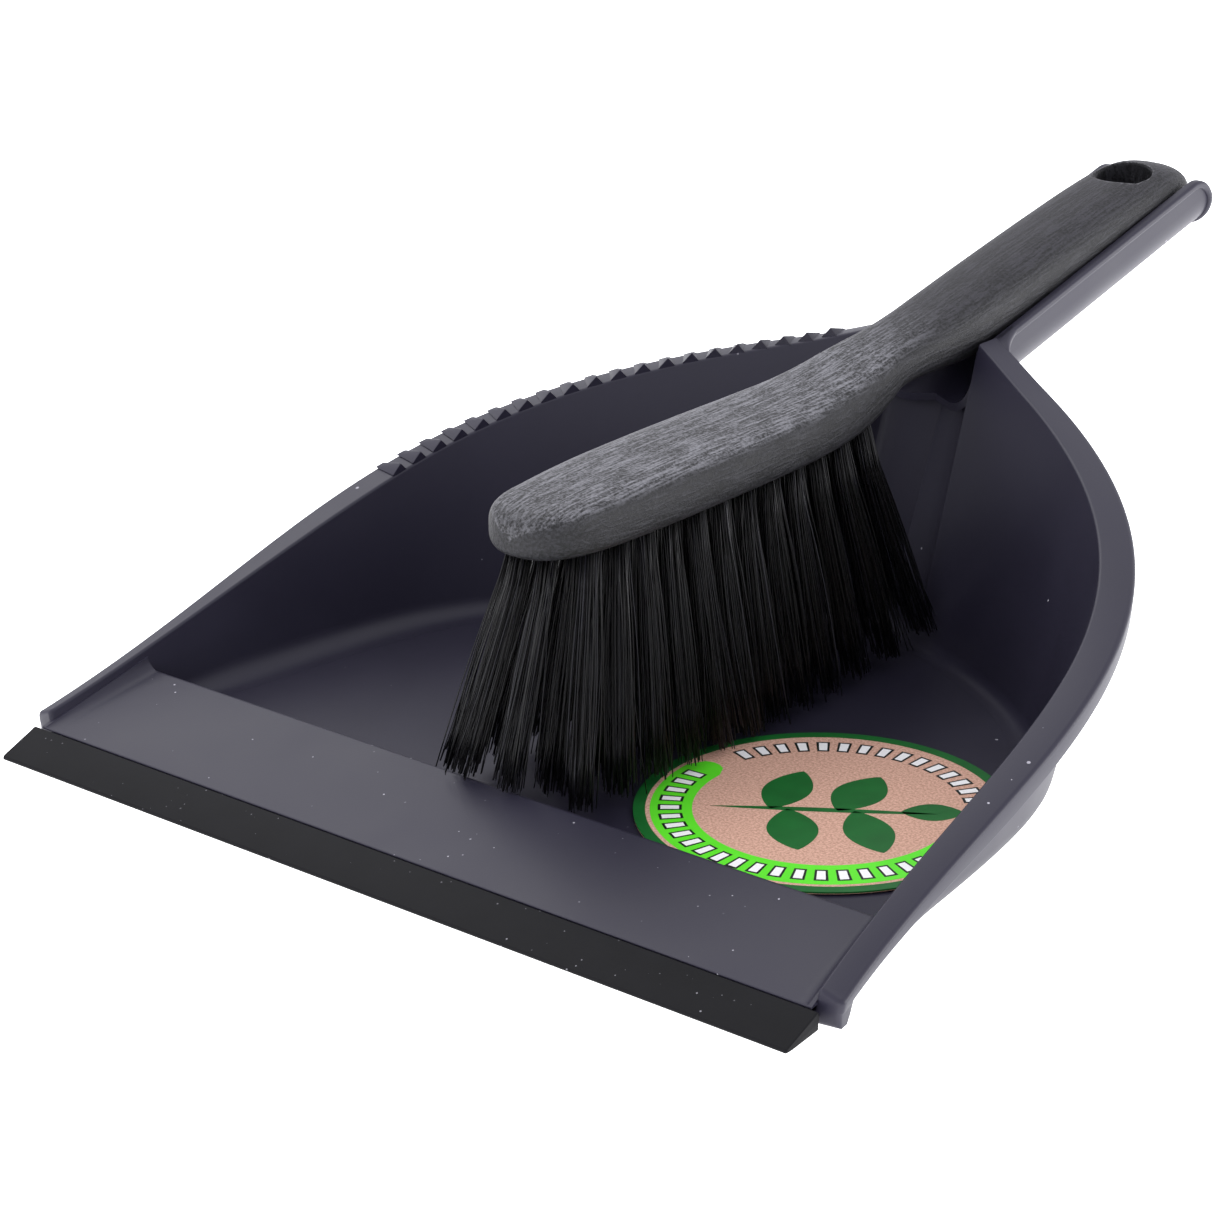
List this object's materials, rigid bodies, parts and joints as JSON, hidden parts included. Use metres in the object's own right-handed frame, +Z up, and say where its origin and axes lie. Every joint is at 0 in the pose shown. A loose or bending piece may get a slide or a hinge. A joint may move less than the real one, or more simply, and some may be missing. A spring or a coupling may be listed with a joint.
{
  "type": "dust pan and brush set",
  "caption": "Dust pan with a soft front lip, combed left rim and trough handle, and a hand brush lying in it with its bristles on the tray.",
  "frame": {"origin": "on the ground under the middle of the whole set", "axes": "+Z up, +Y from the lip towards the end of the handles, +X to the right when seen from the lip"},
  "size_m": [0.226, 0.3096, 0.0948],
  "materials": {
    "pan_plastic": "matt anthracite moulded polypropylene with a very fine spark texture",
    "lip_rubber": "soft black elastomer, satin",
    "label_card": "printed kraft card with green borders",
    "block_plastic": "charcoal moulded plastic with a fine brushed grain",
    "filament": "glossy black synthetic filament"
  },
  "bodies": {
    "pan": {"pan_body": "pan_plastic", "scraper_lip": "lip_rubber", "floor_label": "label_card"},
    "brush": {"brush_block": "block_plastic", "tuft_right_01": "filament", "tuft_right_02": "filament", "tuft_right_03": "filament", "tuft_right_04": "filament", "tuft_right_05": "filament", "tuft_right_06": "filament", "tuft_right_07": "filament", "tuft_right_08": "filament", "tuft_right_09": "filament", "tuft_right_10": "filament", "tuft_right_11": "filament", "tuft_right_12": "filament", "tuft_left_01": "filament", "tuft_left_02": "filament", "tuft_left_03": "filament", "tuft_left_04": "filament", "tuft_left_05": "filament", "tuft_left_06": "filament", "tuft_left_07": "filament", "tuft_left_08": "filament", "tuft_left_09": "filament", "tuft_left_10": "filament", "tuft_left_11": "filament", "tuft_left_12": "filament", "tuft_mid_right_01": "filament", "tuft_mid_right_02": "filament", "tuft_mid_right_03": "filament", "tuft_mid_right_04": "filament", "tuft_mid_right_05": "filament", "tuft_mid_right_06": "filament", "tuft_mid_right_07": "filament", "tuft_mid_right_08": "filament", "tuft_mid_right_09": "filament", "tuft_mid_right_10": "filament", "tuft_mid_right_11": "filament", "tuft_mid_right_12": "filament", "tuft_mid_right_13": "filament", "tuft_mid_left_01": "filament", "tuft_mid_left_02": "filament", "tuft_mid_left_03": "filament", "tuft_mid_left_04": "filament", "tuft_mid_left_05": "filament", "tuft_mid_left_06": "filament", "tuft_mid_left_07": "filament", "tuft_mid_left_08": "filament", "tuft_mid_left_09": "filament", "tuft_mid_left_10": "filament", "tuft_mid_left_11": "filament", "tuft_mid_left_12": "filament", "tuft_mid_left_13": "filament"}
  },
  "joints": [
    {"name": "brush_lift", "type": "slide", "parent": "pan", "child": "brush", "axis": [0, 0, 1], "range_m": [0, 0.12]}
  ]
}
